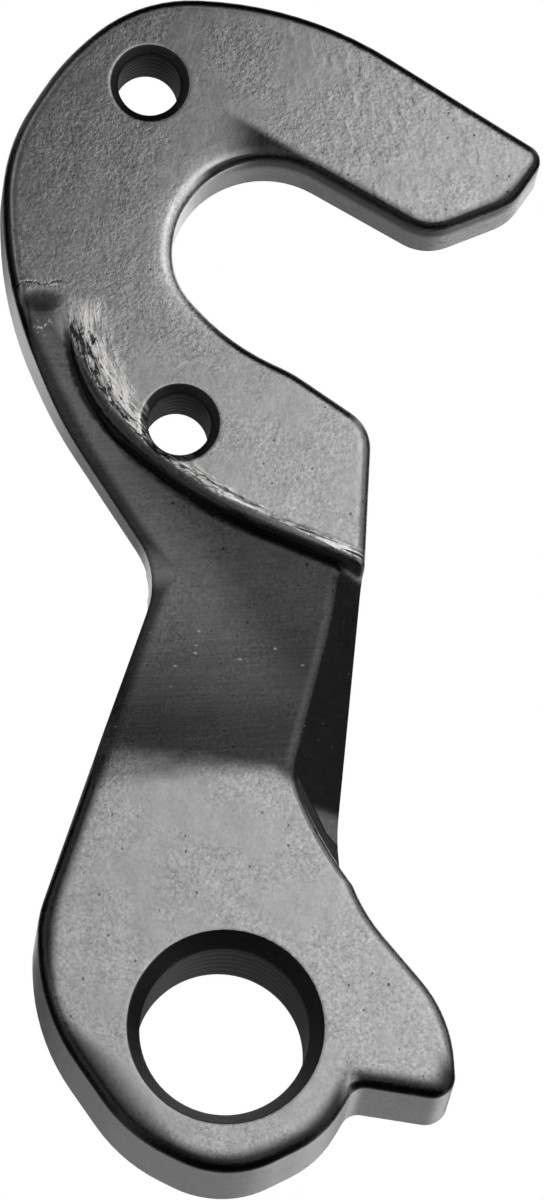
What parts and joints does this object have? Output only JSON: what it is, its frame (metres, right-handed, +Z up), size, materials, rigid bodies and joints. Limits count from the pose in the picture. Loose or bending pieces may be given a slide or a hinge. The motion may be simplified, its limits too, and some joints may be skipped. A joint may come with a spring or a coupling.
{
  "type": "bicycle derailleur hanger",
  "caption": "Forged one-piece derailleur hanger: hooked plate around an axle slot, frame-bolt holes, stepped neck, and a boss with a threaded derailleur bore and stop horn.",
  "frame": {"origin": "where the derailleur bore's axis meets the seat plane, which is the plate's flat back against the frame", "axes": "+Z up along the part's length, from the bore to the hook; -Y out of the front, the way the derailleur bolt leaves; +X to the right seen from the front"},
  "size_m": [0.0288, 0.008, 0.0643],
  "materials": {
    "anodised": "blasted and dark anodised, worn on the step's lip"
  },
  "bodies": {
    "root": {"hanger": "anodised"}
  },
  "joints": []
}
